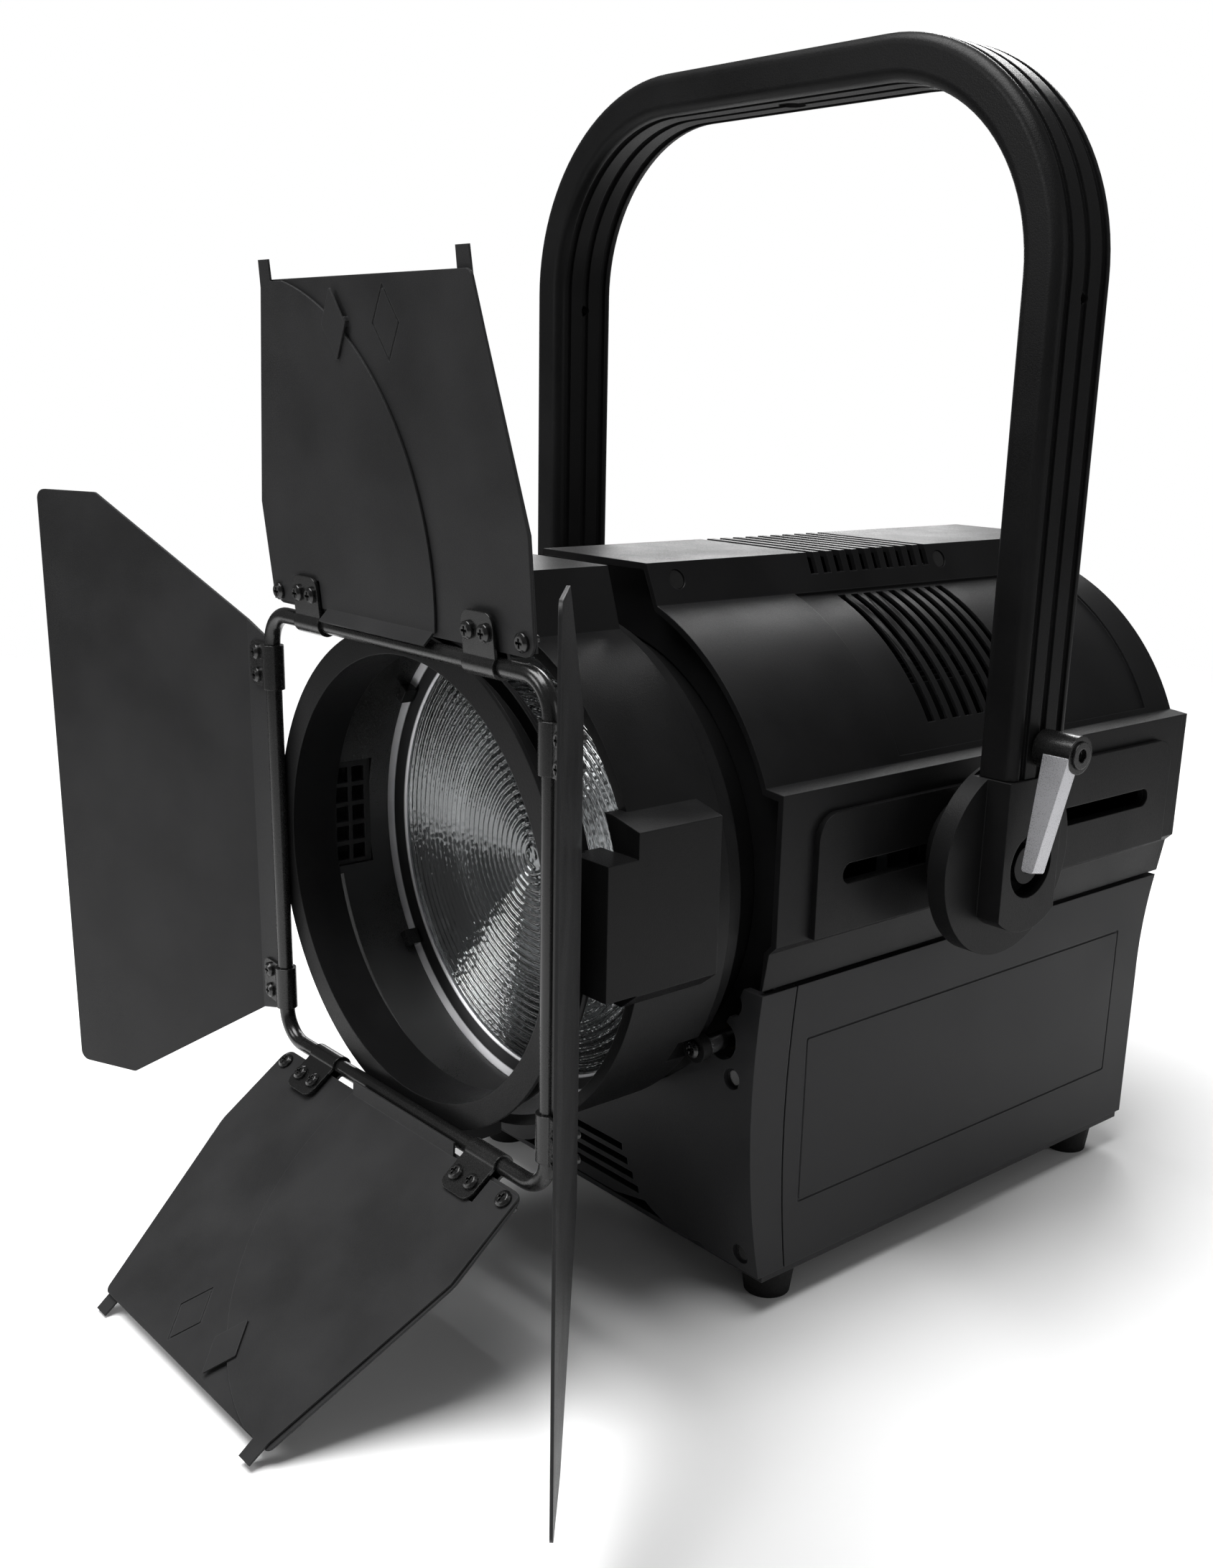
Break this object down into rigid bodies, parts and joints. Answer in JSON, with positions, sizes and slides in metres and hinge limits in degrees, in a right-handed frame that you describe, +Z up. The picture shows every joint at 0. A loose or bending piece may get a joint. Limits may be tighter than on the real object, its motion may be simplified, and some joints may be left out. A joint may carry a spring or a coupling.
{
  "type": "fresnel spotlight",
  "caption": "Zoom spotlight with a stepped lens, rotating barndoor with hinged leaves, sliding tilting yoke and a box base on feet.",
  "frame": {"origin": "on the surface it stands on, at the middle of the four feet", "axes": "+Z up, the light shines towards -Y, +X to the right when looked at from the front"},
  "size_m": [0.478, 0.5417, 0.5598],
  "materials": {
    "black_leaf": "satin powder coat on sheet steel",
    "black_steel": "gloss black",
    "board_white": "matte",
    "bright_ring": "satin",
    "bushing_brass": "blackened",
    "button_plastic": "matte",
    "charcoal_casting": "die casting, matte powder coat",
    "charcoal_shell": "fine matte powder coat",
    "chrome_rod": "polished",
    "fan_plastic": "matte",
    "fresnel_glass": "clear, stepped and pebbled",
    "grey_panel": "fine matte powder coat",
    "grille_mesh": "matte",
    "lever_grey": "silver-grey paint",
    "motor_steel": "motor can, mean density of a small motor",
    "rubber_foot": "matte",
    "screw_black": "blackened",
    "screw_steel": "ground",
    "sink_alu": "black anodised",
    "socket_black": "matte",
    "supply_case": "perforated case, filled with parts",
    "window_black": "gloss"
  },
  "bodies": {
    "housing": {"upper_housing_shell": "charcoal_shell", "front_bulkhead": "charcoal_shell", "slide_plate_left": "charcoal_casting", "slide_plate_right": "charcoal_casting", "base_casing": "grey_panel", "base_side_panel_left": "grey_panel", "base_side_panel_right": "grey_panel", "front_fascia": "grey_panel", "rear_cap": "charcoal_shell", "rubber_feet": "rubber_foot", "housing_screws": "screw_black", "led_module": "board_white", "heat_sink": "sink_alu", "power_supply": "supply_case", "fan_frame": "fan_plastic", "zoom_motor": "motor_steel", "guide_bushings": "bushing_brass", "display_window": "window_black", "power_inlet": "socket_black", "data_sockets": "socket_black"},
    "lens_head": {"head_shell": "charcoal_casting", "fresnel_lens": "fresnel_glass", "lens_bezel": "bright_ring", "side_grilles": "grille_mesh", "inner_sleeve": "charcoal_casting", "guide_rod_left": "chrome_rod", "guide_rod_right": "chrome_rod", "guide_rod_screws": "screw_black"},
    "zoom_screw": {"lead_screw": "screw_steel"},
    "latch_pin": {"barndoor_latch": "screw_black"},
    "barndoor": {"barndoor_ring": "charcoal_casting", "rod_frame": "black_steel"},
    "carriage": {"slide_block_left": "charcoal_casting", "slide_block_right": "charcoal_casting"},
    "yoke_frame": {"yoke": "charcoal_casting", "yoke_end_left": "charcoal_casting", "yoke_end_right": "charcoal_casting", "yoke_bolts": "screw_black", "lever_stud": "screw_black"},
    "lever": {"clamp_lever": "lever_grey"},
    "fan": {"fan_rotor": "fan_plastic"},
    "top_leaf": {"leaf_top": "black_leaf", "leaf_clips_top": "black_steel", "leaf_screws_top": "screw_black"},
    "bottom_leaf": {"leaf_bottom": "black_leaf", "leaf_clips_bottom": "black_steel", "leaf_screws_bottom": "screw_black"},
    "left_leaf": {"leaf_left": "black_leaf", "leaf_clips_left": "black_steel", "leaf_screws_left": "screw_black"},
    "right_leaf": {"leaf_right": "black_leaf", "leaf_clips_right": "black_steel", "leaf_screws_right": "screw_black"},
    "top_flap_a": {"flap_top_a": "black_leaf"},
    "top_flap_b": {"flap_top_b": "black_leaf"},
    "bottom_flap_a": {"flap_bottom_a": "black_leaf"},
    "bottom_flap_b": {"flap_bottom_b": "black_leaf"},
    "menu_button": {"button_menu": "button_plastic"},
    "up_button": {"button_up": "button_plastic"},
    "down_button": {"button_down": "button_plastic"}
  },
  "joints": [
    {"name": "zoom", "type": "slide", "parent": "housing", "child": "lens_head", "axis": [0, -1, 0], "range_m": [-0.015, 0.06]},
    {"name": "zoom_screw_turn", "type": "hinge", "parent": "housing", "child": "zoom_screw", "pos_m": [0, -0.078, 0.074], "axis": [0, 1, 0], "range_deg": [-677, 2702]},
    {"name": "barndoor_turn", "type": "hinge", "parent": "lens_head", "child": "barndoor", "pos_m": [0, -0.248, 0.202], "axis": [0, 1, 0], "continuous": true},
    {"name": "latch_lift", "type": "slide", "parent": "lens_head", "child": "latch_pin", "axis": [0, 0, 1], "range_m": [0, 0.0065], "stiffness_N_per_m": 250, "springref_m": -0.01},
    {"name": "top_leaf_swing", "type": "hinge", "parent": "barndoor", "child": "top_leaf", "pos_m": [0, -0.258, 0.3084], "axis": [1, 0, 0], "range_deg": [-15, 74]},
    {"name": "bottom_leaf_swing", "type": "hinge", "parent": "barndoor", "child": "bottom_leaf", "pos_m": [0, -0.258, 0.0956], "axis": [-1, 0, 0], "range_deg": [-42.5, 27.5]},
    {"name": "left_leaf_swing", "type": "hinge", "parent": "barndoor", "child": "left_leaf", "pos_m": [-0.1064, -0.258, 0.202], "axis": [0, 0, 1], "range_deg": [-4, 56]},
    {"name": "right_leaf_swing", "type": "hinge", "parent": "barndoor", "child": "right_leaf", "pos_m": [0.1064, -0.258, 0.202], "axis": [0, 0, -1], "range_deg": [-22, 38]},
    {"name": "top_flap_a_swing", "type": "hinge", "parent": "top_leaf", "child": "top_flap_a", "pos_m": [-0.091, -0.25917, 0.32034], "axis": [0, 0.9952, 0.0976], "range_deg": [-30, 0]},
    {"name": "top_flap_b_swing", "type": "hinge", "parent": "top_leaf", "child": "top_flap_b", "pos_m": [0.091, -0.25917, 0.32034], "axis": [0, -0.9952, -0.0976], "range_deg": [-30, 0]},
    {"name": "bottom_flap_a_swing", "type": "hinge", "parent": "bottom_leaf", "child": "bottom_flap_a", "pos_m": [0.091, -0.26752, 0.08829], "axis": [0, 0.6088, -0.7934], "range_deg": [-30, 0]},
    {"name": "bottom_flap_b_swing", "type": "hinge", "parent": "bottom_leaf", "child": "bottom_flap_b", "pos_m": [-0.091, -0.26752, 0.08829], "axis": [0, -0.6088, 0.7934], "range_deg": [-30, 0]},
    {"name": "yoke_slide", "type": "slide", "parent": "housing", "child": "carriage", "axis": [0, 1, 0], "range_m": [-0.06, 0.13]},
    {"name": "yoke_tilt", "type": "hinge", "parent": "carriage", "child": "yoke_frame", "pos_m": [0, -0.0355, 0.212], "axis": [-1, 0, 0], "range_deg": [-30, 120]},
    {"name": "clamp_turn", "type": "hinge", "parent": "yoke_frame", "child": "lever", "pos_m": [0.183, -0.0355, 0.266], "axis": [1, 0, 0], "range_deg": [-60, 60]},
    {"name": "fan_spin", "type": "hinge", "parent": "housing", "child": "fan", "pos_m": [0, 0.1355, 0.217], "axis": [0, 1, 0], "continuous": true},
    {"name": "menu_press", "type": "slide", "parent": "housing", "child": "menu_button", "axis": [0, -1, 0], "range_m": [0, 0.0012], "stiffness_N_per_m": 900, "springref_m": -0.0006},
    {"name": "up_press", "type": "slide", "parent": "housing", "child": "up_button", "axis": [0, -1, 0], "range_m": [0, 0.0012], "stiffness_N_per_m": 900, "springref_m": -0.0006},
    {"name": "down_press", "type": "slide", "parent": "housing", "child": "down_button", "axis": [0, -1, 0], "range_m": [0, 0.0012], "stiffness_N_per_m": 900, "springref_m": -0.0006}
  ],
  "couplings": [
    {"joint": "zoom_screw_turn", "follows": "zoom", "rad_per_m": 785.4}
  ]
}
